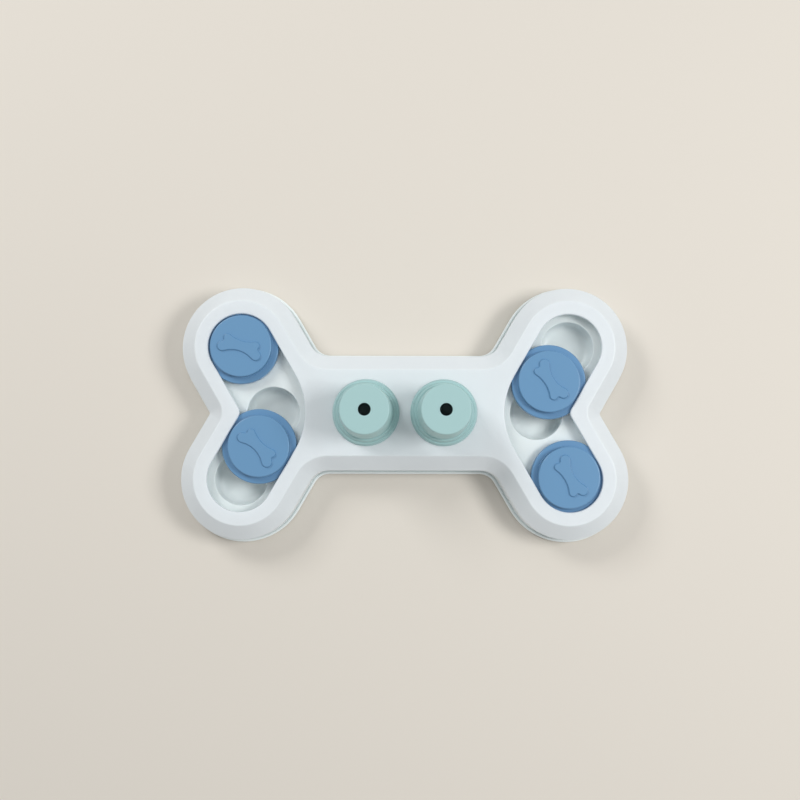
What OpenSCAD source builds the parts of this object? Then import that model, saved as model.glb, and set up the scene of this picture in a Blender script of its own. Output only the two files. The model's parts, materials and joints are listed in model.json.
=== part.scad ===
// Dog puzzle feeder: a bone-shaped board with two bent slider tracks and two treat cones.
// Millimetres. X runs along the bone, Y across it, Z up. The origin is under the middle of
// the board, on the surface that the rubber feet stand on.

/* [Board outline] */
// Distance of a lobe centre from the middle, along X
lobe_x = 122.2; // [112:0.1:150]
// Distance of a lobe centre from the middle, along Y
lobe_y = 49.3; // [46:0.1:60]
// Angle between a track leg and the Y axis
leg_angle = 30; // [24:1:33]
// Outer radius of the cover wall round a lobe
wall_r = 45.3; // [43:0.1:50]
// Half width of the bar between the lobes, at the cover wall
bar_half = 42.9; // [38:0.1:46]
// Radius of the notch at each end, at the cover wall
notch_r = 3.2; // [3:0.1:8]
// Radius of the corner between a lobe and the bar, at the cover wall
junction_r = 15.5; // [6:0.5:22]

/* [Board heights] */
// Height of the flat top face
cover_top = 34; // [31:0.5:44]
// Height of the sloped border below the top face
bevel_h = 10.5; // [6:0.1:14]
// Width of the sloped border, seen from above
bevel_w = 10.9; // [8:0.1:12]
// Wall and roof thickness of the cover
cover_t = 2.4; // [1.6:0.1:3]
// Blend radius along the two edges of the sloped border
edge_r = 1.6; // [0.6:0.1:3]

/* [Tray] */
// Height of the tray's underside above the surface
tray_z = 1.2; // [0.8:0.1:2]
// Thickness of the tray's plate
plate_t = 2.6; // [2:0.1:3.6]
// Width of the rim that shows outside the cover
rim_w = 2.5; // [1.5:0.1:5]
// Width of the shadow gap between the cover and the rim
seam_w = 0.9; // [0.4:0.1:1.2]
// Depth of the shadow gap below the rim
seam_depth = 1; // [0.6:0.1:1.6]
// Height of the step that carries the cover, above the plate
seat_h = 0.8; // [0.4:0.1:1.6]
// Height of the lip that centres the cover, above that step
lip_h = 2.4; // [1:0.1:4]
// Thickness of that lip
lip_t = 1.4; // [1:0.1:2]
// Clearance between the cover's wall and what stands inside it
lip_gap = 0.3; // [0.2:0.05:0.5]
// Depth of the track floor below the top face
track_depth = 10; // [9:0.5:14]
// Wall and floor thickness of the tracks
track_t = 2.2; // [1.6:0.1:3]
// Gap between a track wall and the roof of the cover
roof_gap = 0.6; // [0.4:0.1:1.2]

/* [Tracks and wells] */
// Half width of the track opening in the cover
opening_r = 24.4; // [24:0.1:26]
// Centre line radius of the bend in a track
bend_r = 31; // [29.5:0.5:36]
// Chamfer along the edge of the track opening
opening_chamfer = 0.6; // [0.3:0.1:1]
// Rim radius of a treat well
well_r = 19.7; // [16:0.1:21]
// Depth of a treat well below the track floor
well_depth = 14; // [8:0.5:15]
// Inward lean of a well's wall over its depth
well_draft = 1.2; // [0.4:0.1:3]
// Radius between a well's wall and its floor
well_fillet = 4.5; // [2:0.5:7]

/* [Sliders] */
// Radius of the plate that runs under the cover
plate_r = 27.8; // [27:0.1:28]
// Clearance between the plate and the track, all round
slide_gap = 0.6; // [0.4:0.1:1]
// Clearance above and below the plate
glide_gap = 0.35; // [0.2:0.05:0.6]
// Wall thickness of the plate and the cap
slider_t = 2; // [1.5:0.1:2.6]
// Radius of the cap that shows above the cover
cap_r = 22.9; // [21:0.1:23.5]
// Height of the cap above the top face
cap_rise = 2.4; // [1.5:0.1:8]
// Rounding of the cap's upper edge
cap_edge = 0.9; // [0.4:0.1:1.4]
// Radius of the round step on the plate, under the cap
step_r = 23.8; // [23.4:0.1:23.9]
// Height of that step
step_h = 0.7; // [0.4:0.1:0.9]
// Radius of the snap stem under the cap
stem_r = 5; // [4:0.1:7]
// Clearance of the stem in the plate's bore
stem_gap = 0.25; // [0.15:0.05:0.4]
// Overhang of the snap barb on the stem
barb_w = 0.9; // [0.6:0.1:1.4]
// Height of the raised bone on the cap
bone_h = 0.9; // [0.5:0.1:1.5]

/* [Slider places] */
// Travel of the back left slider from its lobe
travel_back_left = 0; // [0:0.5:8]
// Travel of the front left slider from its lobe
travel_front_left = 27.9; // [22:0.1:34]
// Travel of the back right slider from its lobe
travel_back_right = 30.1; // [24:0.1:34]
// Travel of the front right slider from its lobe
travel_front_right = 1.5; // [0:0.5:8]
// Turn of the back left cap
turn_back_left = -15.5; // [-180:0.5:180]
// Turn of the front left cap
turn_front_left = -45; // [-180:0.5:180]
// Turn of the back right cap
turn_back_right = -56.5; // [-180:0.5:180]
// Turn of the front right cap
turn_front_right = -59; // [-180:0.5:180]

/* [Treat cones] */
// Distance of a cone from the middle
cone_x = 28.9; // [27:0.1:36]
// Height of a cone above the top face
cone_h = 47; // [36:0.5:65]
// Radius of the cone's base ring
cone_base_r = 24.9; // [23.5:0.1:26.5]
// Radius of the cone at its upper edge
cone_top_r = 18.4; // [14:0.1:19]
// Width of each of the two steps at the base
cone_step_w = 2.3; // [1.5:0.1:2.6]
// Height of each ring at the base
cone_ring_h = 3; // [2:0.1:4.5]
// Wall thickness of the cone
cone_t = 2.2; // [1.6:0.1:3]
// Radius of the upper edge of the cone
cone_edge = 1.6; // [0.8:0.1:2.1]
// Radius of the hole in the cone's top
cone_hole_r = 4.5; // [3:0.1:8]
// Radius of the well under a cone
cone_well_r = 18; // [15:0.1:18.5]
// Depth of that well below the top face
cone_well_depth = 13; // [8:0.5:16]
// Length of the spigot that centres the cone in its well
spigot_h = 3; // [2:0.1:5]
// Clearance between the spigot and the well
spigot_gap = 0.5; // [0.3:0.1:1]

/* [Feet and screws] */
// Radius of a rubber foot
foot_r = 6; // [4:0.1:7]
// Depth of a foot's pocket in the tray
foot_pocket = 1; // [0.6:0.1:1.4]
// Clearance round a foot in its pocket
foot_gap = 0.25; // [0.15:0.05:0.4]
// Direction of a lobe's foot, from the X axis
foot_angle = 12; // [0:1:24]
// Direction of a lobe's screw, from the X axis
lobe_screw_angle = 72; // [55:1:90]
// Distance of the bar's feet from the middle, along Y
bar_foot_y = 34; // [30:0.5:36]
// Distance of the bar's screws from the middle, along X
bar_screw_x = 56; // [50:0.5:60]
// Distance of the bar's screws from the middle, along Y
bar_screw_y = 26; // [20:0.5:28]
// Radius of a screw's shank
screw_r = 1.5; // [1.2:0.1:2]
// Radius of a screw's head
screw_head_r = 3; // [2.5:0.1:3.5]
// Height of a screw's head
screw_head_h = 1.9; // [1.4:0.1:2.2]
// Length of a screw under its head
screw_len = 14; // [10:0.5:17]
// Clearance round a screw
screw_gap = 0.15; // [0.1:0.05:0.3]
// Wall thickness of a screw boss
boss_t = 2.2; // [1.6:0.1:3]

/* [Hidden] */

$fn = 96;
eps = 0.01;                 // overlap of faces that are cut or joined
over = 2;                   // reach of a cutting body past the face that it cuts
lobe_steps = 36;            // faces round a lobe of the board and round the end of a track
bend_steps = 16;            // faces along each side of a track's bend
junction_steps = 6;         // faces round the corner between a lobe and the bar
notch_steps = 3;            // faces from the middle of a notch to its end

// Levels, from the surface up
plate_top = tray_z + plate_t;
seat_z = plate_top + seat_h;
bevel_z = cover_top - bevel_h;
roof_z = cover_top - cover_t;
track_z = cover_top - track_depth;
track_top = roof_z - roof_gap;
slider_bottom = track_z + glide_gap;
slider_top = roof_z - glide_gap;
step_top = slider_top + step_h;
cap_bottom = step_top + glide_gap;
cap_top = cover_top + cap_rise;
well_floor = track_z - well_depth;
cone_top = cover_top + cone_h;
cone_floor = cover_top - cone_well_depth;
pad_top = plate_top + plate_t;
head_z = plate_top - 0.2;                  // level that a screw head bears on
foot_top = tray_z + foot_pocket;

// Screws: the lobes' screws and feet stand as far out as the screws' pads allow
pad_r = screw_head_r + screw_gap + boss_t;
boss_r = screw_r + screw_gap + boss_t;
rim_place_r = wall_r - cover_t - lip_gap - lip_t - pad_r;

// Plan of a track: straight legs at leg_angle meet in an arc of bend_r
waist_x = lobe_x - lobe_y * tan(leg_angle);
bend_x = waist_x + bend_r / cos(leg_angle);
bend_well_x = bend_x - bend_r;
track_r = plate_r + slide_gap;

// Centre of the round corner between the back right lobe and the bar
junction_y = bar_half + junction_r;
junction_x = waist_x + (junction_y * sin(leg_angle) - wall_r - junction_r) / cos(leg_angle);

// Outlines of the board: depth inward from the cover wall, and height
bevel_slope = atan2(bevel_h, bevel_w);
bevel_turn = (90 - bevel_slope) / 2;
roof_run = (bevel_h - cover_t + cover_t * cos(bevel_slope)) / sin(bevel_slope);
roof_edge = roof_run * cos(bevel_slope) + cover_t * sin(bevel_slope);
cover_outline = concat(
    [[0, seat_z]],
    blend([0, seat_z], [0, bevel_z], [bevel_w, cover_top], edge_r, 3),
    blend([0, bevel_z], [bevel_w, cover_top], [wall_r, cover_top], edge_r, 3)
);
cavity_outline = [
    [cover_t, seat_z - over],
    [cover_t, bevel_z - cover_t * tan(bevel_turn)],
    [roof_edge, roof_z]
];
rim_edge = 0.5;
rim_outline = [
    [-rim_w + rim_edge, tray_z],
    [-rim_w, tray_z + rim_edge],
    [-rim_w, plate_top - rim_edge],
    [-rim_w + rim_edge, plate_top]
];
seam_in = 0.4;              // the cover wall covers this much of the shadow gap
lip_out = cover_t + lip_gap;
lip_top = seat_z + lip_h;

// The four sliders: side, row, travel from the lobe, turn of the cap
SLIDERS = [
    [-1, 1, travel_back_left, turn_back_left],
    [-1, -1, travel_front_left, turn_front_left],
    [1, 1, travel_back_right, turn_back_right],
    [1, -1, travel_front_right, turn_front_right]
];
CORNERS = [[-1, 1], [-1, -1], [1, 1], [1, -1]];

board_color = "#dfe6e9";
slider_color = "#6c9ac2";
plate_color = "#5f84b0";
cone_color = "#a3c8c4";
foot_color = "#8d9498";
screw_color = "#b9bcc0";

// ---- Profiles ----

// Points of a round blend at corner b of the path a-b-c, with radius r in n steps
function unit(v) = v / norm(v);
function blend(a, b, c, r, n) =
    let (u = unit(a - b), v = unit(c - b),
         half = acos(u * v) / 2,
         middle = b + unit(u + v) * r / sin(half),
         first = b + u * r / tan(half) - middle,
         last = b + v * r / tan(half) - middle,
         turn = 180 - 2 * half,
         way = sign(first[0] * last[1] - first[1] * last[0]))
    [for (i = [0:n])
        let (s = way * turn * i / n)
        middle + [first[0] * cos(s) - first[1] * sin(s), first[0] * sin(s) + first[1] * cos(s)]];

// A profile of radius and height, turned round the Z axis
module turned(profile) {
    rotate_extrude() polygon(profile);
}

// Points of an arc about a centre, from one direction to another
function arc(centre, r, from_angle, to_angle, steps) = [
    for (i = [0:steps])
        let (a = from_angle + (to_angle - from_angle) * i / steps)
        centre + r * [cos(a), sin(a)]
];

// ---- Bodies of the board's and the tracks' outlines ----

// Closed body through outlines with equal counts of points, each at its own height. The lid
// lists the faces that close its lower end, each of them a fan from its first point
module lofted(outlines, heights, lid) {
    count = len(outlines[0]);
    last = len(outlines) - 1;
    polyhedron(
        points = [for (k = [0:last]) for (p = outlines[k]) [p[0], p[1], heights[k]]],
        faces = concat(
            lid,
            [for (f = lid)
                [for (i = [0:len(f) - 1]) f[(len(f) - i) % len(f)] + last * count]],
            [for (k = [0:last - 1]) for (i = [0:count - 1])
                let (low = k * count, next = (i + 1) % count)
                [low + i, low + i + count, low + next + count, low + next]]
        )
    );
}

// A quarter of the board's outline at distance d inside the cover wall: from the middle of
// the right-hand notch, round the back lobe, to the back of the bar
function quarter_outline(d) =
    let (fillet_r = max(notch_r + d, 0.3))
    concat(
        arc([waist_x + (wall_r - d + fillet_r) / cos(leg_angle), 0], fillet_r,
            180, 180 - leg_angle, notch_steps),
        arc([lobe_x, lobe_y], wall_r - d, -leg_angle, 180 - leg_angle, lobe_steps),
        arc([junction_x, junction_y], junction_r + d, 360 - leg_angle, 270, junction_steps)
    );

// The whole outline: the quarter and its three mirror images, in one turn
function board_outline(d) =
    let (q = quarter_outline(d), n = len(q) - 1)
    concat(
        q,
        [for (i = [n:-1:0]) [-q[i][0], q[i][1]]],
        [for (i = [1:n]) [-q[i][0], -q[i][1]]],
        [for (i = [n:-1:1]) [q[i][0], -q[i][1]]]
    );

// Faces that close such an outline: the lobes, the legs beside the notches, and strips
// across the bar
function board_lid() =
    let (
        n = notch_steps + lobe_steps + junction_steps + 2,
        first = notch_steps + 1,            // first point of a lobe
        last = first + lobe_steps,          // its last point
        back = [for (i = [0:n]) i],
        back_left = [for (i = [0:n]) 2 * n + 1 - i],
        front_left = [for (i = [0:n]) 2 * n + 1 + i],
        front = [for (i = [0:n]) (4 * n + 2 - i) % (4 * n + 2)]
    )
    concat(
        [for (q = [back, front_left]) [for (i = [first:last]) q[i]]],
        [for (q = [back_left, front]) [for (i = [last:-1:first]) q[i]]],
        [for (q = [back, front_left]) concat([q[last]], [for (i = [0:first]) q[i]])],
        [for (q = [back_left, front]) concat([q[last]], [for (i = [first:-1:0]) q[i]])],
        [[back[last], front[last], 0], [back_left[last], back_left[0], front_left[last]]],
        [for (i = [last:n - 1]) [back[i], back[i + 1], front[i + 1], front[i]]],
        [for (i = [last:n - 1])
            [back_left[i + 1], back_left[i], front_left[i], front_left[i + 1]]],
        [[back[n], back_left[n], front_left[n], front[n]]]
    );

// A body of the board's shape, from a list of depths inside the cover wall and heights
module board_body(outline) {
    lofted([for (p = outline) board_outline(p[0])], [for (p = outline) p[1]], board_lid());
}

// The same with upright walls
module board_prism(d, low, high) {
    translate([0, 0, low]) linear_extrude(high - low) polygon(board_outline(d));
}

// Outline of the right-hand track at distance r from its middle line: back lobe, wide side
// of the bend, front lobe, narrow side of the bend
function track_outline(r) = concat(
    arc([lobe_x, lobe_y], r, -leg_angle, 180 - leg_angle, lobe_steps),
    arc([bend_x, 0], bend_r + r, 180 - leg_angle, 180 + leg_angle, bend_steps),
    arc([lobe_x, -lobe_y], r, 180 + leg_angle, 360 + leg_angle, lobe_steps),
    r < bend_r
        ? arc([bend_x, 0], bend_r - r, 180 + leg_angle, 180 - leg_angle, bend_steps)
        : [[waist_x + r / cos(leg_angle), 0]]
);

// Faces that close such an outline: the lobes, the legs, and strips across the bend
function track_lid() =
    let (
        bend = lobe_steps + 1,                  // first point of the bend's wide side
        front = bend + bend_steps + 1,          // first point of the front lobe
        narrow = front + lobe_steps + 1,        // first point of the bend's narrow side
        end = narrow + bend_steps
    )
    concat(
        [[for (i = [0:bend - 1]) i], [for (i = [front:narrow - 1]) i]],
        [[bend - 1, bend, end, 0], [front - 1, front, narrow - 1, narrow]],
        [for (i = [0:bend_steps - 1]) [bend + i, bend + i + 1, end - 1 - i, end - i]]
    );

// Both tracks as upright bodies at distance r from their middle lines
module track_prism(r, low, high) {
    for (s = [0, 1]) mirror([s, 0, 0])
        translate([0, 0, low]) linear_extrude(high - low) polygon(track_outline(r));
}

// The openings over both tracks, with a chamfer along the upper edge
module track_openings() {
    wide_r = opening_r + 2 * opening_chamfer;
    for (s = [0, 1]) mirror([s, 0, 0]) lofted(
        [track_outline(opening_r), track_outline(opening_r), track_outline(wide_r)],
        [roof_z - over, cover_top - opening_chamfer, cover_top + opening_chamfer],
        track_lid()
    );
}

// ---- Places ----

// Mirrors its children into one of the four quarters
module in_quarter(c) {
    mirror([c[0] < 0 ? 1 : 0, 0, 0]) mirror([0, c[1] < 0 ? 1 : 0, 0]) children();
}

// Places its children at the four lobes, mirrored to each
module at_lobes() {
    for (c = CORNERS) in_quarter(c) translate([lobe_x, lobe_y, 0]) children();
}

// Places its children on the middle of each treat well in the tracks
module at_track_wells() {
    at_lobes() children();
    for (s = [-1, 1]) translate([s * bend_well_x, 0, 0]) children();
}

module at_cones() {
    for (s = [-1, 1]) translate([s * cone_x, 0, 0]) children();
}

module at_screws() {
    at_lobes() rotate([0, 0, lobe_screw_angle]) translate([rim_place_r, 0, 0]) children();
    for (c = CORNERS) translate([c[0] * bar_screw_x, c[1] * bar_screw_y, 0]) children();
}

// Half profile of the space in a round well, from its floor to its rim
function well_space(r, floor_z, rim_z, lift) = concat(
    [[0, floor_z]],
    blend([0, floor_z], [r - well_draft, floor_z], [r, rim_z], well_fillet, 5),
    [[r, rim_z], [r, rim_z + lift], [0, rim_z + lift]]
);

// Half profile of the cup that holds such a well, with walls of thickness t
function well_cup(r, floor_z, rim_z, t) = concat(
    [[0, floor_z - t]],
    blend([0, floor_z - t], [r + t - well_draft, floor_z - t], [r + t, rim_z],
          well_fillet + t, 5),
    [[r + t, rim_z], [0, rim_z]]
);

// ---- Board ----

// Moulded top shell with the track openings, the cone wells and the screw bosses
module top_cover() {
    color(board_color) {
        difference() {
            board_body(cover_outline);
            board_body(cavity_outline);
            track_openings();
            at_cones() turned(well_space(cone_well_r, cone_floor, cover_top, over));
        }
        at_cones() difference() {
            turned(well_cup(cone_well_r, cone_floor, roof_z + eps, cover_t));
            turned(well_space(cone_well_r, cone_floor, cover_top, over));
        }
        cover_bosses();
        cover_ribs();
    }
}

// Hollow posts that take the screws, up to the inside of the shell
module cover_bosses() {
    intersection() {
        at_screws() difference() {
            translate([0, 0, pad_top]) cylinder(r = boss_r, h = cover_top);
            translate([0, 0, pad_top - eps])
                cylinder(r = screw_r + screw_gap, h = screw_len - (pad_top - head_z) + 1);
        }
        board_body(offset_outline(cavity_outline, -cover_t / 2));
    }
}

// The cavity's outline made larger by d, so that a post reaches into the shell
function offset_outline(outline, d) = [
    [outline[0][0] + d, outline[0][1]],
    [outline[1][0] + d, outline[1][1]],
    [outline[2][0] + d, outline[2][1] - d]
];

// Stiffening ribs under the roof of the bar
module cover_ribs() {
    rib_t = 1.6;
    rib_depth = 6;
    rib_reach = bar_half - roof_edge;
    for (s = [-1, 1]) {
        translate([s * bar_screw_x - rib_t / 2, -rib_reach, roof_z - rib_depth])
            cube([rib_t, 2 * rib_reach, rib_depth + eps]);
        translate([-bar_screw_x, s * bar_screw_y - rib_t / 2, roof_z - rib_depth])
            cube([2 * bar_screw_x, rib_t, rib_depth + eps]);
    }
    translate([-rib_t / 2, -rib_reach, roof_z - rib_depth])
        cube([rib_t, 2 * rib_reach, rib_depth + eps]);
}

// Moulded tray with the outer rim, the two raised tracks and their treat wells
module base_tray() {
    color(board_color) difference() {
        union() {
            difference() {
                union() {
                    tray_plate();
                    track_prism(track_r + track_t, tray_z, track_top);
                    at_screws() translate([0, 0, tray_z])
                        cylinder(r = pad_r, h = pad_top - tray_z);
                }
                track_prism(track_r, track_z, track_top + over);
                track_prism(track_r, tray_z - over, track_z - track_t);
            }
            at_track_wells()
                turned(well_cup(well_r, well_floor, track_z - eps, track_t));
        }
        at_track_wells() turned(well_space(well_r, well_floor, track_z, over));
        at_screws() {
            translate([0, 0, tray_z - over])
                cylinder(r = screw_head_r + 2 * screw_gap, h = head_z - tray_z + over);
            translate([0, 0, tray_z])
                cylinder(r = screw_r + screw_gap, h = pad_top);
        }
        for (i = [0:5]) at_foot(i) translate([0, 0, tray_z - over])
            cylinder(r = foot_r + foot_gap, h = foot_pocket + over);
    }
}

// The plate with its rim, the shadow gap, the step for the cover and the centring lip
module tray_plate() {
    difference() {
        board_body(rim_outline);
        board_prism(-seam_w, plate_top - seam_depth, plate_top + over);
    }
    board_prism(seam_in, plate_top - seam_depth - eps, seat_z);
    difference() {
        board_prism(lip_out, seat_z - eps, lip_top);
        board_prism(lip_out + lip_t, plate_top, lip_top + over);
    }
}

// ---- Sliders ----

// Places its children at slider i, on the middle line of its leg
module at_slider(i) {
    travel = SLIDERS[i][2];
    translate([
        SLIDERS[i][0] * (lobe_x - travel * sin(leg_angle)),
        SLIDERS[i][1] * (lobe_y - travel * cos(leg_angle)),
        0
    ]) children();
}

// Round plate that runs between the track floor and the cover
module slider_plate(i) {
    edge = 0.8;
    bore_r = stem_r + stem_gap;
    hub_r = bore_r + barb_w + slider_t + 0.6;
    color(plate_color) at_slider(i) difference() {
        turned([
            [bore_r, step_top],
            [step_r - edge / 2, step_top],
            [step_r, step_top - edge / 2],
            [step_r, slider_top],
            [plate_r - edge, slider_top],
            [plate_r, slider_top - edge],
            [plate_r, slider_bottom + edge / 2],
            [plate_r - edge / 2, slider_bottom],
            [plate_r - slider_t, slider_bottom],
            [plate_r - slider_t, slider_top - slider_t],
            [hub_r, slider_top - slider_t],
            [hub_r, slider_bottom + 1],
            [hub_r - slider_t, slider_bottom + 1],
            [hub_r - slider_t, slider_top - slider_t],
            [bore_r, slider_top - slider_t]
        ]);
        translate([0, 0, slider_bottom]) cylinder(r = bore_r, h = step_top);
    }
}

// Round cap with a raised bone and a split snap stem, which turns on the plate
module slider_cap(i) {
    barb_z = slider_top - slider_t - glide_gap;
    barb_h = 1.6;
    slot_w = 1.6;
    color(slider_color) at_slider(i) rotate([0, 0, SLIDERS[i][3]]) {
        turned(concat(
            [[0, cap_top]],
            blend([0, cap_top], [cap_r, cap_top], [cap_r, cap_bottom], cap_edge, 4),
            [
                [cap_r, cap_bottom],
                [cap_r - slider_t, cap_bottom],
                [cap_r - slider_t, cap_top - slider_t],
                [0, cap_top - slider_t]
            ]
        ));
        difference() {
            turned([
                [0, cap_top - slider_t + eps],
                [stem_r, cap_top - slider_t + eps],
                [stem_r, barb_z],
                [stem_r + barb_w, barb_z],
                [stem_r, barb_z - barb_h],
                [0, barb_z - barb_h]
            ]);
            translate([0, 0, barb_z - barb_h - over])
                cylinder(r = stem_r - slider_t, h = barb_h + slider_t + over);
            for (a = [0, 90]) rotate([0, 0, a])
                translate([-stem_r - over, -slot_w / 2, barb_z - barb_h - over])
                    cube([2 * (stem_r + over), slot_w, barb_h + slider_t + over]);
        }
        translate([0, 0, cap_top - eps]) linear_extrude(bone_h + eps) bone_outline();
    }
}

// Outline of the raised bone: two unequal pairs of knobs and a waisted shaft
module bone_outline() {
    back_knob = [10.7, 3.4];
    back_r = 3.1;
    front_knob = [12.6, -3.55];
    front_r = 3.8;
    shaft_half = 4;
    side_r = 18.5;
    for (s = [-1, 1]) {
        translate([s * back_knob[0], back_knob[1]]) circle(back_r);
        translate([s * front_knob[0], front_knob[1]]) circle(front_r);
    }
    difference() {
        polygon([
            [-back_knob[0], back_knob[1] + back_r],
            [back_knob[0], back_knob[1] + back_r],
            [front_knob[0], 0.8],
            [front_knob[0], front_knob[1] - front_r],
            [-front_knob[0], front_knob[1] - front_r],
            [-front_knob[0], 0.8]
        ]);
        for (s = [-1, 1]) translate([0, s * (shaft_half + side_r)]) circle(side_r);
    }
}

// ---- Cones ----

// Hollow cone with a stepped base, a round hole in its top and a spigot for its well
module treat_cone(side) {
    ring_1 = cover_top + cone_ring_h;
    ring_2 = ring_1 + cone_ring_h;
    r_2 = cone_base_r - cone_step_w;
    r_3 = r_2 - cone_step_w;
    spigot_r = cone_well_r - spigot_gap;
    ring_edge = 0.9;
    outside = concat(
        [[cone_base_r, cover_top]],
        blend([cone_base_r, cover_top], [cone_base_r, ring_1], [r_2, ring_1], ring_edge, 3),
        [[r_2, ring_1]],
        blend([r_2, ring_1], [r_2, ring_2], [r_3, ring_2], ring_edge, 3),
        [[r_3, ring_2]],
        blend([r_3, ring_2], [cone_top_r, cone_top], [cone_hole_r, cone_top], cone_edge, 4)
    );
    inside = [
        [cone_hole_r, cone_top],
        [cone_hole_r, cone_top - cone_t],
        [cone_top_r - cone_t, cone_top - cone_t],
        [spigot_r - cone_t, cover_top],
        [spigot_r - cone_t, cover_top - spigot_h],
        [spigot_r - 0.5, cover_top - spigot_h],
        [spigot_r, cover_top - spigot_h + 0.5],
        [spigot_r, cover_top]
    ];
    color(cone_color) translate([side * cone_x, 0, 0]) difference() {
        turned(concat(outside, inside));
        translate([0, 0, cone_top - cone_t - eps]) cylinder(r = cone_hole_r, h = cone_t + over);
    }
}

// ---- Feet and screws ----

// Places its children at foot i: four under the lobes and two under the bar
module at_foot(i) {
    if (i < 4)
        in_quarter(CORNERS[i]) translate([lobe_x, lobe_y, 0])
            rotate([0, 0, foot_angle]) translate([rim_place_r, 0, 0]) children();
    else
        translate([0, (i == 4 ? 1 : -1) * bar_foot_y, 0]) children();
}

// Round rubber foot, glued into its pocket
module foot(i) {
    edge = 0.5;
    color(foot_color) at_foot(i) turned([
        [0, 0], [foot_r - 2 * edge, 0], [foot_r - edge, edge], [foot_r, tray_z],
        [foot_r, foot_top], [0, foot_top]
    ]);
}

// Pan-head screws driven from below, through the tray into the cover's bosses
module cover_screws() {
    recess_r = 1.4;
    recess_h = 1;
    tip = 1.2;
    low = head_z - screw_head_h;
    color(screw_color) at_screws() difference() {
        turned([
            [0, low],
            [screw_head_r - 0.5, low],
            [screw_head_r, low + 0.5],
            [screw_head_r, head_z],
            [screw_r, head_z],
            [screw_r, head_z + screw_len - tip],
            [0.3, head_z + screw_len],
            [0, head_z + screw_len]
        ]);
        for (a = [0, 90]) rotate([0, 0, a])
            translate([-recess_r, -0.35, low - over]) cube([2 * recess_r, 0.7, over + recess_h]);
    }
}

top_cover();
base_tray();
slider_plate(0);  // slider_plate_back_left
slider_plate(1);  // slider_plate_front_left
slider_plate(2);  // slider_plate_back_right
slider_plate(3);  // slider_plate_front_right
slider_cap(0);  // slider_cap_back_left
slider_cap(1);  // slider_cap_front_left
slider_cap(2);  // slider_cap_back_right
slider_cap(3);  // slider_cap_front_right
treat_cone(-1);  // treat_cone_left
treat_cone(1);  // treat_cone_right
foot(0);  // foot_back_left
foot(1);  // foot_front_left
foot(2);  // foot_back_right
foot(3);  // foot_front_right
foot(4);  // foot_bar_back
foot(5);  // foot_bar_front
cover_screws();
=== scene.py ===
import json
from math import atan2, cos, hypot, pi, radians, sin, sqrt

import bpy
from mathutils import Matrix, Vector

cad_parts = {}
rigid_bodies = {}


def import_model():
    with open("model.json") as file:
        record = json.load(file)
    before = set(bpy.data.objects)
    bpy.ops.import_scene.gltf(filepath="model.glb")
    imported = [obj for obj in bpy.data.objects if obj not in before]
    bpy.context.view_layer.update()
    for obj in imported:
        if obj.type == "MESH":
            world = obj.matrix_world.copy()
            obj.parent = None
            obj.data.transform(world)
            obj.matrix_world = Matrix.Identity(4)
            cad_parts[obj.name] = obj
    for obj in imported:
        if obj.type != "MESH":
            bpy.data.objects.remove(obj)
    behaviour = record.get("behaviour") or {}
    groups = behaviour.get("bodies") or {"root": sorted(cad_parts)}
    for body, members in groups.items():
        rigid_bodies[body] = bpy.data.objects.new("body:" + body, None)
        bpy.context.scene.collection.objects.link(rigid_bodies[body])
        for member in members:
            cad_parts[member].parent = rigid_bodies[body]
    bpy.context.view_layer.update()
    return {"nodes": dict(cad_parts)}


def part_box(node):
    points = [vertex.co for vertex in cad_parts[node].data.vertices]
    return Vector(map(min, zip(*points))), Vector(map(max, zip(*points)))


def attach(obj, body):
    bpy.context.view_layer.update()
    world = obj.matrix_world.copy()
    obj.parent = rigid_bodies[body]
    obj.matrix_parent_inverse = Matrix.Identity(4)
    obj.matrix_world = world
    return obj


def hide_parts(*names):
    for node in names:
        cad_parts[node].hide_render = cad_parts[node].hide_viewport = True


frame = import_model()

mm = 0.001                              # sizes are written in millimetres, Blender works in metres
nodes = frame["nodes"]
quarters = ("back_left", "front_left", "back_right", "front_right")
nearHeight, nearRadius = 0.02, 0.05     # how close a height or a radius counts as the one asked for
nearUpright = 0.9                       # how upright the normal of a level face is, of 1


# Materials

def toLinear(hexColour):
    # sRGB hex to the linear colour that a shader works in
    channels = [int(hexColour[i:i + 2], 16) / 255 for i in (1, 3, 5)]
    return [c / 12.92 if c <= 0.04045 else ((c + 0.055) / 1.055) ** 2.4 for c in channels] + [1]


def addNode(tree, kind, inputs, **settings):
    # one node with its settings; each socket is set to a value or linked to another socket
    node = tree.nodes.new(kind)
    for name, value in settings.items():
        setattr(node, name, value)
    for name, value in inputs.items():
        if isinstance(value, bpy.types.NodeSocket):
            tree.links.new(value, node.inputs[name])
        else:
            node.inputs[name].default_value = value
    return node


glossSpread = 0.04                      # how far the clouds move a plastic's roughness either way


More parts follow.
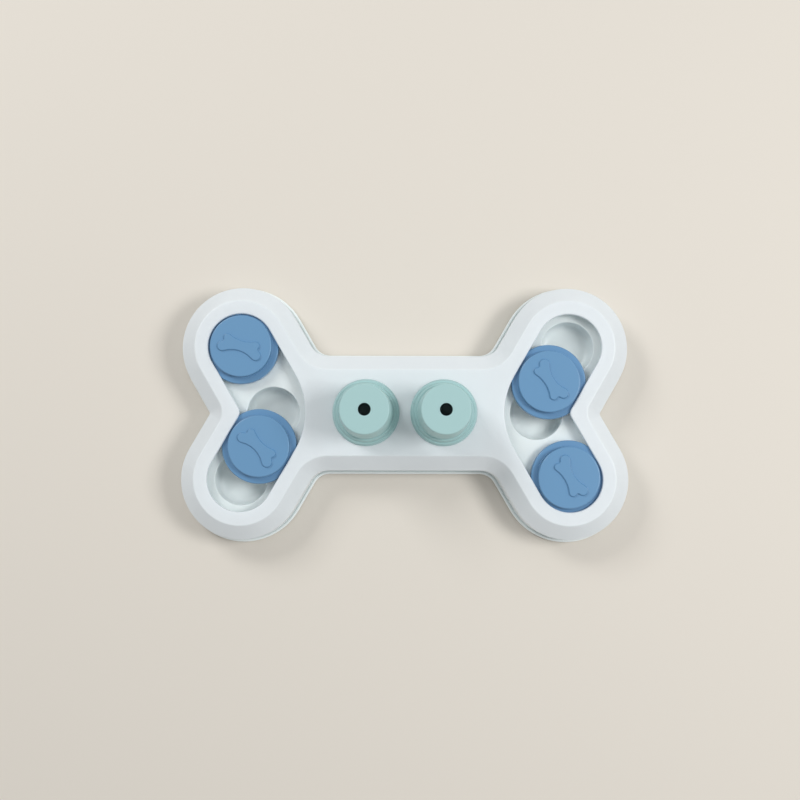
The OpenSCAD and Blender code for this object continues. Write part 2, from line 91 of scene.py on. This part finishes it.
def mouldedPlastic(look):
    # moulded plastic: eroded grain in the surface, faint flow clouds in colour and gloss
    material = bpy.data.materials.new(look["name"])
    material.use_nodes = True
    tree = material.node_tree
    tree.nodes.clear()
    place = addNode(tree, "ShaderNodeTexCoord", {})
    clouds = addNode(tree, "ShaderNodeTexNoise", {
        "Vector": place.outputs["Object"], "Scale": 1 / (look["cloudSize"] * mm), "Detail": 3})
    grain = addNode(tree, "ShaderNodeTexNoise", {
        "Vector": place.outputs["Object"], "Scale": 1 / (look["grainSize"] * mm), "Detail": 2})
    tint = addNode(tree, "ShaderNodeMix", {
        0: clouds.outputs["Fac"], 6: toLinear(look["colour"]), 7: toLinear(look["cloudColour"])},
        data_type="RGBA")
    gloss = addNode(tree, "ShaderNodeMapRange", {
        "Value": clouds.outputs["Fac"], "To Min": look["roughness"] - glossSpread,
        "To Max": look["roughness"] + glossSpread})
    bump = addNode(tree, "ShaderNodeBump", {
        "Height": grain.outputs["Fac"], "Strength": look["grainStrength"],
        "Distance": look["grainDepth"] * mm})
    shader = addNode(tree, "ShaderNodeBsdfPrincipled", {
        "Base Color": tint.outputs[2], "Roughness": gloss.outputs["Result"],
        "IOR": look["ior"], "Normal": bump.outputs["Normal"],
        "Subsurface Weight": look["glow"], "Subsurface Radius": (1, 1, 1),
        "Subsurface Scale": look["glowDepth"] * mm})
    addNode(tree, "ShaderNodeOutputMaterial", {"Surface": shader.outputs["BSDF"]})
    return material


boardLook = {
    "name": "polypropyleneMouldedMistGrey",     # satin, slightly cool off-white
    "colour": "#E2E9ED", "cloudColour": "#DFE6EA", "cloudSize": 60,
    "grainSize": 0.6, "grainDepth": 0.03, "grainStrength": 0.3,
    "roughness": 0.4, "ior": 1.49,
    "glow": 0.35, "glowDepth": 5,
}
trayLookPaintedLight = {
    "name": "polypropyleneNaturalPaintedPaler",      # satin, paler and clearer than the cover
    # satin and clearer than the cover, a greener tone; made paler than it as painted light in the
    # shaded wells and tracks
    "colour": "#EAF2F2", "cloudColour": "#E7F0F0", "cloudSize": 60,
    "grainSize": 0.6, "grainDepth": 0.03, "grainStrength": 0.3,
    "roughness": 0.4, "ior": 1.49,
    "glow": 0.5, "glowDepth": 3,
}
capLook = {
    "name": "polypropyleneMouldedDenimBlue",    # satin mid blue
    "colour": "#6492B9", "cloudColour": "#6290B7", "cloudSize": 30,
    "grainSize": 0.5, "grainDepth": 0.03, "grainStrength": 0.3,
    "roughness": 0.3, "ior": 1.49,
    "glow": 0, "glowDepth": 1,
}
plateLookPaintedShade = {
    "name": "polypropyleneDenimBlueWithPaintedShade",  # the cap's blue, painted a trace darker as shade where the plate lies below the cap
    "colour": "#618FB7", "cloudColour": "#5F8DB5", "cloudSize": 30,
    "grainSize": 0.5, "grainDepth": 0.03, "grainStrength": 0.3,
    "roughness": 0.3, "ior": 1.49,
    "glow": 0, "glowDepth": 1,
}
coneLook = {
    "name": "polypropyleneMouldedSageMint",     # satin pale green
    "colour": "#A3C6C6", "cloudColour": "#A1C4C4", "cloudSize": 40,
    "grainSize": 0.6, "grainDepth": 0.03, "grainStrength": 0.3,
    "roughness": 0.45, "ior": 1.49,
    "glow": 0, "glowDepth": 1,
}
footLook = {
    "name": "thermoplasticRubberMatteGrey",     # soft, matt, no highlight
    "colour": "#8D9498", "cloudColour": "#878E92", "cloudSize": 8,
    "grainSize": 0.4, "grainDepth": 0.04, "grainStrength": 0.4,
    "roughness": 0.85, "ior": 1.5,
    "glow": 0, "glowDepth": 1,
}
screwLook = {
    "name": "zincPlatedSteel",                  # bright grey metal with a faintly mottled gloss
    "colour": "#B9BCC0", "mottleSize": 1.5, "roughness": (0.28, 0.45),
}


def platedSteel(look):
    # steel with a thin zinc coat, whose mottling shows in its gloss
    material = bpy.data.materials.new(look["name"])
    material.use_nodes = True
    tree = material.node_tree
    tree.nodes.clear()
    place = addNode(tree, "ShaderNodeTexCoord", {})
    mottle = addNode(tree, "ShaderNodeTexNoise", {
        "Vector": place.outputs["Object"], "Scale": 1 / (look["mottleSize"] * mm), "Detail": 4})
    smoothest, roughest = look["roughness"]
    gloss = addNode(tree, "ShaderNodeMapRange", {
        "Value": mottle.outputs["Fac"], "To Min": smoothest, "To Max": roughest})
    shader = addNode(tree, "ShaderNodeBsdfPrincipled", {
        "Base Color": toLinear(look["colour"]), "Metallic": 1, "Roughness": gloss.outputs["Result"]})
    addNode(tree, "ShaderNodeOutputMaterial", {"Surface": shader.outputs["BSDF"]})
    return material


def dress(piece, material):
    piece.data.materials.clear()
    piece.data.materials.append(material)


boardPlastic = mouldedPlastic(boardLook)
# the tray's paler tone is painted light for its shaded wells and tracks
trayPlasticPaintedLight = mouldedPlastic(trayLookPaintedLight)
capPlastic = mouldedPlastic(capLook)
# the plates' plastic is the cap's blue with painted shade
platePlasticPaintedShade = mouldedPlastic(plateLookPaintedShade)
conePlastic = mouldedPlastic(coneLook)
footRubber = mouldedPlastic(footLook)
screwSteel = platedSteel(screwLook)
print("materials done")


# Modelling steps

def startCylinder(name, radius, low, high, facets):
    # a closed cylinder on the Z axis, left in edit mode
    bpy.ops.object.select_all(action="DESELECT")
    bpy.ops.mesh.primitive_cylinder_add(
        vertices=facets, radius=radius * mm, depth=(high - low) * mm,
        location=(0, 0, (low + high) / 2 * mm))
    piece = bpy.context.object
    piece.name = name
    bpy.ops.object.transform_apply()
    bpy.ops.object.mode_set(mode="EDIT")
    return piece


def pickFace(piece, z, up):
    # selects the level faces at height z that look up or down
    bpy.ops.mesh.select_mode(type="FACE")
    bpy.ops.mesh.select_all(action="DESELECT")
    bpy.ops.object.mode_set(mode="OBJECT")
    for face in piece.data.polygons:
        level = abs(face.center.z / mm - z) < nearHeight
        face.select = level and face.normal.z * (1 if up else -1) > nearUpright
    bpy.ops.object.mode_set(mode="EDIT")


def pickRings(piece, rings):
    # selects the round edges at each given radius and height
    bpy.ops.mesh.select_mode(type="EDGE")
    bpy.ops.mesh.select_all(action="DESELECT")
    bpy.ops.object.mode_set(mode="OBJECT")
    points = piece.data.vertices
    for edge in piece.data.edges:
        ends = [points[v].co / mm for v in edge.vertices]
        edge.select = any(
            all(abs(hypot(p.x, p.y) - r) < nearRadius and abs(p.z - z) < nearHeight for p in ends)
            for r, z in rings)
    bpy.ops.object.mode_set(mode="EDIT")


def insetBy(width):
    bpy.ops.mesh.inset(thickness=width * mm)


def widenBy(factor):
    bpy.ops.transform.resize(value=(factor, factor, 1))


def extrudeBy(height, widen=1):
    bpy.ops.mesh.extrude_region_move(TRANSFORM_OT_translate={"value": (0, 0, height * mm)})
    if widen != 1:
        widenBy(widen)


def roundRings(piece, rings, radius, segments=3):
    pickRings(piece, rings)
    bpy.ops.mesh.bevel(offset=radius * mm, segments=segments, profile=0.5)


def openHole(piece, lowEnd, highEnd, radius):
    # joins the two flat ends of a hole, which look down and up, into one wall
    for z in (highEnd, lowEnd):
        bpy.ops.mesh.select_mode(type="FACE")
        bpy.ops.mesh.select_all(action="DESELECT")
        bpy.ops.object.mode_set(mode="OBJECT")
        for face in piece.data.polygons:
            reach = max(hypot(*piece.data.vertices[v].co.xy) for v in face.vertices) / mm
            level = abs(face.center.z / mm - z) < nearHeight and abs(face.normal.z) > nearUpright
            face.select = level and reach < radius + nearRadius
        bpy.ops.object.mode_set(mode="EDIT")
        bpy.ops.mesh.delete(type="ONLY_FACE")
    pickRings(piece, [(radius, lowEnd), (radius, highEnd)])
    bpy.ops.mesh.bridge_edge_loops()


def finishPiece(piece, material, smoothAngle=35):
    bpy.ops.mesh.select_all(action="SELECT")
    bpy.ops.mesh.normals_make_consistent(inside=False)
    bpy.ops.object.mode_set(mode="OBJECT")
    bpy.ops.object.shade_smooth_by_angle(angle=radians(smoothAngle))
    weighted = piece.modifiers.new("weighted", "WEIGHTED_NORMAL")     # flat faces stay flat
    weighted.keep_sharp = True
    bpy.ops.object.modifier_apply(modifier="weighted")
    dress(piece, material)


def ownCopy(source, name):
    # a selected copy with a mesh of its own
    piece = source.copy()
    piece.data = source.data.copy()
    piece.name = name
    bpy.context.collection.objects.link(piece)
    bpy.ops.object.select_all(action="DESELECT")
    piece.select_set(True)
    bpy.context.view_layer.objects.active = piece
    return piece


def placeCopy(master, name, x, y, turn=0):
    # a copy turned and moved, with its place then kept in the mesh
    piece = ownCopy(master, name)
    piece.location = (x * mm, y * mm, 0)
    piece.rotation_euler.z = radians(turn)
    bpy.ops.object.transform_apply()
    return piece


def middleOf(node):
    low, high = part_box(node)
    return [(low[i] + high[i]) / 2 / mm for i in (0, 1)]


# Cover and tray

boardSet = {
    "joinWithin": 0.001, "flatWithin": 0.3,     # mm between points, degrees between faces
    # both edges of the openings' chamfer
    "top_cover": {"levels": (34, 33.4), "edge": 0.25, "segments": 2},
    # the rims of the wells and the feet of the track walls
    "base_tray": {"levels": (24,), "edge": 0.5, "segments": 3},
}


def copyNode(node, levels):
    # a copy of a CAD piece with its loose triangles joined, and made whole faces beside the levels
    piece = ownCopy(nodes[node], node + "_shape")
    bpy.ops.mesh.customdata_custom_splitnormals_clear()
    bpy.ops.object.mode_set(mode="EDIT")
    bpy.ops.mesh.select_all(action="SELECT")
    bpy.ops.mesh.remove_doubles(threshold=boardSet["joinWithin"] * mm)
    bpy.ops.mesh.select_mode(type="FACE")
    bpy.ops.mesh.select_all(action="DESELECT")
    bpy.ops.object.mode_set(mode="OBJECT")
    points = piece.data.vertices
    for face in piece.data.polygons:
        heights = [points[v].co.z / mm for v in face.vertices]
        face.select = any(abs(h - z) < nearHeight for h in heights for z in levels)
    bpy.ops.object.mode_set(mode="EDIT")
    bpy.ops.mesh.dissolve_limited(angle_limit=radians(boardSet["flatWithin"]))
    return piece


def pickSharp(piece, levels, sharpness=30):
    # selects the sharp edges that lie at the given heights
    bpy.ops.mesh.select_mode(type="EDGE")
    bpy.ops.mesh.select_all(action="DESELECT")
    bpy.ops.mesh.edges_select_sharp(sharpness=radians(sharpness))
    bpy.ops.object.mode_set(mode="OBJECT")
    points = piece.data.vertices
    for edge in piece.data.edges:
        heights = [points[v].co.z / mm for v in edge.vertices]
        level = any(all(abs(h - z) < nearHeight for h in heights) for z in levels)
        edge.select = edge.select and level
    bpy.ops.object.mode_set(mode="EDIT")


def modelShell(node, plastic):
    s = boardSet[node]
    shell = copyNode(node, s["levels"])
    pickSharp(shell, s["levels"])
    bpy.ops.mesh.bevel(offset=s["edge"] * mm, segments=s["segments"], profile=0.5)
    finishPiece(shell, plastic)
    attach(shell, "board")
    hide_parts(node)


modelShell("top_cover", boardPlastic)
modelShell("base_tray", trayPlasticPaintedLight)
print("cover and tray done")


# Slider caps

capSet = {
    "radius": 22.9, "low": 32.3, "high": 36.4, "wall": 2, "edge": 0.9, "facets": 128,
    "stemRadius": 5, "stemWall": 2, "stemLow": 27.3, "barbHigh": 28.9, "barbRadius": 5.9,
    "boreDepth": 3.6,
    "backKnob": (10.9, 3.3, 3.35), "frontKnob": (12.9, -3.8, 4.25),   # x, y, radius
    "shaftHalf": 4.25, "notchRadius": 0.9, "arcStep": 12, "fewestSteps": 6,
    # the relief's side, from the cap's face up to its own: inward step and rise of each part
    "reliefSide": ((0.12, 0.04), (0.12, 0.14), (0.55, 1.1), (0.14, 0.16), (0.14, 0.06)),
    "turns": {"back_left": -16.5, "front_left": -45, "back_right": 122.5, "front_right": 120},
}


def sideArc(knob, way):
    # the hollow long side: a circle that passes the shaft and touches both knobs
    x, y, r = knob
    gap = y * way - capSet["shaftHalf"]
    radius = (x * x + gap * gap - r * r) / (2 * (r + gap))
    return (0, way * (capSet["shaftHalf"] + radius), -radius)


def notchArc():
    # the small circle between the two knobs of an end, outside both and touching both
    (x1, y1, r1), (x2, y2, r2) = capSet["backKnob"], capSet["frontKnob"]
    r = capSet["notchRadius"]
    apart = hypot(x2 - x1, y2 - y1)
    along = ((r1 + r) ** 2 - (r2 + r) ** 2 + apart ** 2) / (2 * apart)
    aside = sqrt((r1 + r) ** 2 - along ** 2)
    ux, uy = (x2 - x1) / apart, (y2 - y1) / apart
    return (x1 + ux * along - uy * aside, y1 + uy * along + ux * aside, -r)


def boneOutline():
    # eight touching arcs, anticlockwise; a negative radius marks a hollow one
    back, front = capSet["backKnob"], capSet["frontKnob"]
    notch = notchArc()
    right = [front, notch, back]
    left = [(-x, y, r) for x, y, r in reversed(right)]
    ring = [sideArc(front, -1), *right, sideArc(back, 1), *left]
    points = []
    for i, (x, y, r) in enumerate(ring):
        ends = []
        for x2, y2, _ in (ring[i - 1], ring[(i + 1) % len(ring)]):
            ends.append(atan2(y2 - y, x2 - x))
        way = 1 if r > 0 else -1
        sweep = (ends[1] - ends[0]) * way % (2 * pi)
        steps = max(round(sweep / radians(capSet["arcStep"])), capSet["fewestSteps"])
        for k in range(steps):
            a = ends[0] + way * sweep * k / steps
            points.append((x + abs(r) * cos(a), y + abs(r) * sin(a)))
    return points


def drawOutline(points, z):
    # one vertex, extruded from point to point and back to the first
    x, y = points[0]
    bpy.ops.mesh.select_mode(type="VERT")
    bpy.ops.mesh.primitive_plane_add(size=mm, location=(x * mm, y * mm, z * mm))
    bpy.ops.mesh.merge(type="CENTER")
    for (x1, y1), (x2, y2) in zip(points, points[1:] + points[:1]):
        step = ((x2 - x1) * mm, (y2 - y1) * mm, 0)
        bpy.ops.mesh.extrude_region_move(TRANSFORM_OT_translate={"value": step})
    bpy.ops.mesh.select_linked()
    bpy.ops.mesh.remove_doubles(threshold=0.01 * mm)


def modelCap():
    s = capSet
    cap = startCylinder("capMaster", s["radius"], s["low"], s["high"], s["facets"])
    roundRings(cap, [(s["radius"], s["high"])], s["edge"], 4)
    pickFace(cap, s["low"], False)
    insetBy(s["wall"])
    extrudeBy(s["high"] - s["wall"] - s["low"])
    insetBy(s["radius"] - s["wall"] - s["stemRadius"])
    extrudeBy(s["barbHigh"] - (s["high"] - s["wall"]))
    extrudeBy(0, s["barbRadius"] / s["stemRadius"])
    extrudeBy(s["stemLow"] - s["barbHigh"], s["stemRadius"] / s["barbRadius"])
    insetBy(s["stemWall"])
    extrudeBy(s["boreDepth"])
    pickFace(cap, s["high"], True)
    bpy.ops.mesh.delete(type="ONLY_FACE")
    drawOutline(boneOutline(), s["high"])
    bpy.ops.mesh.edge_face_add()
    for width, rise in s["reliefSide"]:
        bpy.ops.mesh.inset(thickness=width * mm, depth=rise * mm)
    bpy.ops.mesh.select_mode(type="EDGE")
    bpy.ops.mesh.select_all(action="DESELECT")
    bpy.ops.mesh.select_non_manifold(extend=False)
    bpy.ops.mesh.fill(use_beauty=True)
    finishPiece(cap, capPlastic)
    return cap


# Slider plates

plateSet = {
    "radius": 27.8, "low": 24.35, "rimHigh": 31.25, "wall": 2, "rimEdge": 0.8, "facets": 128,
    "stepRadius": 23.8, "stepHigh": 31.95, "stepEdge": 0.4,
    "boreRadius": 5.25, "hubRadius": 8.75, "hubLow": 25.35, "hubWall": 2,
}


def modelPlate():
    s = plateSet
    ceiling = s["rimHigh"] - s["wall"]
    plate = startCylinder("plateMaster", s["radius"], s["low"], s["rimHigh"], s["facets"])
    pickFace(plate, s["rimHigh"], True)
    insetBy(s["radius"] - s["stepRadius"])
    extrudeBy(s["stepHigh"] - s["rimHigh"])
    insetBy(s["stepRadius"] - s["boreRadius"])
    pickFace(plate, s["low"], False)
    insetBy(s["wall"])
    extrudeBy(ceiling - s["low"])
    insetBy(s["radius"] - s["wall"] - s["hubRadius"])
    extrudeBy(s["hubLow"] - ceiling)
    insetBy(s["hubWall"])
    extrudeBy(ceiling - s["hubLow"])
    insetBy(s["hubRadius"] - s["hubWall"] - s["boreRadius"])
    openHole(plate, ceiling, s["stepHigh"], s["boreRadius"])
    roundRings(plate, [(s["radius"], s["rimHigh"])], s["rimEdge"])
    roundRings(plate, [(s["stepRadius"], s["stepHigh"]), (s["radius"], s["low"])], s["stepEdge"])
    finishPiece(plate, platePlasticPaintedShade)
    return plate


capMaster = modelCap()
plateMaster = modelPlate()
for quarter in quarters:
    x, y = middleOf("slider_plate_" + quarter)
    turn = capSet["turns"][quarter]
    for master, kind, bodyKind in (
            (capMaster, "slider_cap", "cap"), (plateMaster, "slider_plate", "plate")):
        piece = placeCopy(master, f"{kind}_{quarter}_shape", x, y, turn)
        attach(piece, f"{bodyKind}_{quarter}")
        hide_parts(f"{kind}_{quarter}")
bpy.data.objects.remove(capMaster)
bpy.data.objects.remove(plateMaster)
print("sliders done")


# Treat cones

coneSet = {
    "low": 34, "high": 81, "facets": 128, "wall": 2.2,
    "baseRadius": 24.9, "skirtHigh": 4, "skirtSlant": 1.25, "ledge": 1.2, "ledgeEdge": 0.35,
    "topRadius": 17.9, "topEdge": 0.9, "holeRadius": 4.5, "holeEdge": 0.4,
    "spigotRadius": 17.5, "spigotDepth": 3, "spigotEdge": 0.5,
}


def modelCone():
    s = coneSet
    first, second = s["low"] + s["skirtHigh"], s["low"] + 2 * s["skirtHigh"]
    firstTop = s["baseRadius"] - s["skirtSlant"]        # two slanted skirts, each with a ledge on it
    secondFoot = firstTop - s["ledge"]
    secondTop = secondFoot - s["skirtSlant"]
    sideFoot = secondTop - s["ledge"]
    ceiling = s["high"] - s["wall"]
    innerRadius = s["spigotRadius"] - s["wall"]
    innerTop = s["topRadius"] - s["wall"]
    spigotLow = s["low"] - s["spigotDepth"]
    cone = startCylinder("coneMaster", s["baseRadius"], s["low"], first, s["facets"])
    pickFace(cone, first, True)
    widenBy(firstTop / s["baseRadius"])
    insetBy(s["ledge"])
    extrudeBy(s["skirtHigh"], secondTop / secondFoot)
    insetBy(s["ledge"])
    extrudeBy(s["high"] - second, s["topRadius"] / sideFoot)
    insetBy(s["topRadius"] - s["holeRadius"])
    pickFace(cone, s["low"], False)
    insetBy(s["baseRadius"] - s["spigotRadius"])
    extrudeBy(-s["spigotDepth"])
    insetBy(s["wall"])
    extrudeBy(s["spigotDepth"])
    extrudeBy(ceiling - s["low"], innerTop / innerRadius)
    insetBy(innerTop - s["holeRadius"])
    openHole(cone, ceiling, s["high"], s["holeRadius"])
    roundRings(cone, [(firstTop, first), (secondTop, second)], s["ledgeEdge"])
    roundRings(cone, [(s["topRadius"], s["high"])], s["topEdge"], 5)
    roundRings(cone, [(s["holeRadius"], s["high"])], s["holeEdge"])
    roundRings(cone, [(s["spigotRadius"], spigotLow)], s["spigotEdge"])
    finishPiece(cone, conePlastic)
    return cone


coneMaster = modelCone()
for side in ("left", "right"):
    piece = placeCopy(coneMaster, f"treat_cone_{side}_shape", *middleOf("treat_cone_" + side))
    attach(piece, "cone_" + side)
    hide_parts("treat_cone_" + side)
bpy.data.objects.remove(coneMaster)
print("cones done")


# Feet and screws

footSet = {"radius": 6, "high": 2.2, "edge": 0.9, "facets": 64}
footNodes = ("foot_back_left", "foot_front_left", "foot_back_right", "foot_front_right",
             "foot_bar_back", "foot_bar_front")


def modelFoot():
    s = footSet
    foot = startCylinder("footMaster", s["radius"], 0, s["high"], s["facets"])
    roundRings(foot, [(s["radius"], 0)], s["edge"], 4)
    finishPiece(foot, footRubber)
    return foot


footMaster = modelFoot()
for node in footNodes:
    piece = placeCopy(footMaster, node + "_shape", *middleOf(node))
    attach(piece, "board")
    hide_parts(node)
bpy.data.objects.remove(footMaster)
dress(nodes["cover_screws"], screwSteel)
print("feet and screws done")


# Floor, light and camera

stageSet = {
    "floorSize": 20000, "floorColour": "#DDD7CD", "floorRoughness": 0.9,
    "skyColour": "#FFFFFF", "skyStrength": 0.45, "backdropStrength": 1,
    "rightLamp": {"power": 14, "size": 600, "place": (1120, 60, 1340)},
    "backLeftLamp": {"power": 10.6, "size": 600, "place": (-948, 948, 1125)},
}


def makeFloor():
    bpy.ops.object.select_all(action="DESELECT")
    bpy.ops.mesh.primitive_plane_add(size=stageSet["floorSize"] * mm)
    floor = bpy.context.object
    floor.name = "floor"
    material = bpy.data.materials.new("plainPaleFloor")
    material.use_nodes = True
    shader = material.node_tree.nodes["Principled BSDF"]
    shader.inputs["Base Color"].default_value = toLinear(stageSet["floorColour"])
    shader.inputs["Roughness"].default_value = stageSet["floorRoughness"]
    dress(floor, material)


def makeSky():
    # even white light from all round, shown as white where the camera or a gloss sees it
    world = bpy.data.worlds.new("studioSky")
    bpy.context.scene.world = world
    world.use_nodes = True
    tree = world.node_tree
    tree.nodes.clear()
    rays = addNode(tree, "ShaderNodeLightPath", {})
    seen = addNode(tree, "ShaderNodeMath", {
        0: rays.outputs["Is Camera Ray"], 1: rays.outputs["Is Glossy Ray"]}, operation="MAXIMUM")
    seen = addNode(tree, "ShaderNodeMath", {
        0: seen.outputs[0], 1: rays.outputs["Is Transmission Ray"]}, operation="MAXIMUM")
    colour = toLinear(stageSet["skyColour"])
    light = addNode(tree, "ShaderNodeBackground", {
        "Color": colour, "Strength": stageSet["skyStrength"]})
    backdrop = addNode(tree, "ShaderNodeBackground", {
        "Color": colour, "Strength": stageSet["backdropStrength"]})
    both = addNode(tree, "ShaderNodeMixShader", {
        0: seen.outputs[0], 1: light.outputs[0], 2: backdrop.outputs[0]})
    addNode(tree, "ShaderNodeOutputWorld", {"Surface": both.outputs[0]})


def makeLamp(name):
    # a large soft square lamp that looks at the middle of the board
    look = stageSet[name]
    place = Vector(look["place"]) * mm
    bpy.ops.object.light_add(type="AREA", location=place)
    lamp = bpy.context.object
    lamp.name = name
    lamp.data.shape = "SQUARE"
    lamp.data.size = look["size"] * mm
    lamp.data.energy = look["power"]
    lamp.rotation_mode = "QUATERNION"
    lamp.rotation_quaternion = (-place).to_track_quat("-Z", "Y")


cameraSet = {
    "place": (-4.6, -45, 923.5),        # almost straight above the board, a little to its front
    "tilt": 3.5, "lean": -0.06, "roll": 0.11,
    "lens": 54, "sensor": 36,
}


def makeCamera():
    bpy.ops.object.camera_add(location=Vector(cameraSet["place"]) * mm)
    camera = bpy.context.object
    camera.name = "camera"
    camera.rotation_mode = "ZYX"
    camera.rotation_euler = [radians(cameraSet[turn]) for turn in ("tilt", "lean", "roll")]
    camera.data.lens = cameraSet["lens"]
    camera.data.sensor_width = cameraSet["sensor"]
    bpy.context.scene.camera = camera


makeFloor()
makeSky()
makeLamp("rightLamp")
makeLamp("backLeftLamp")
makeCamera()
bpy.context.scene.view_settings.view_transform = "Standard"
print("floor, light and camera done")
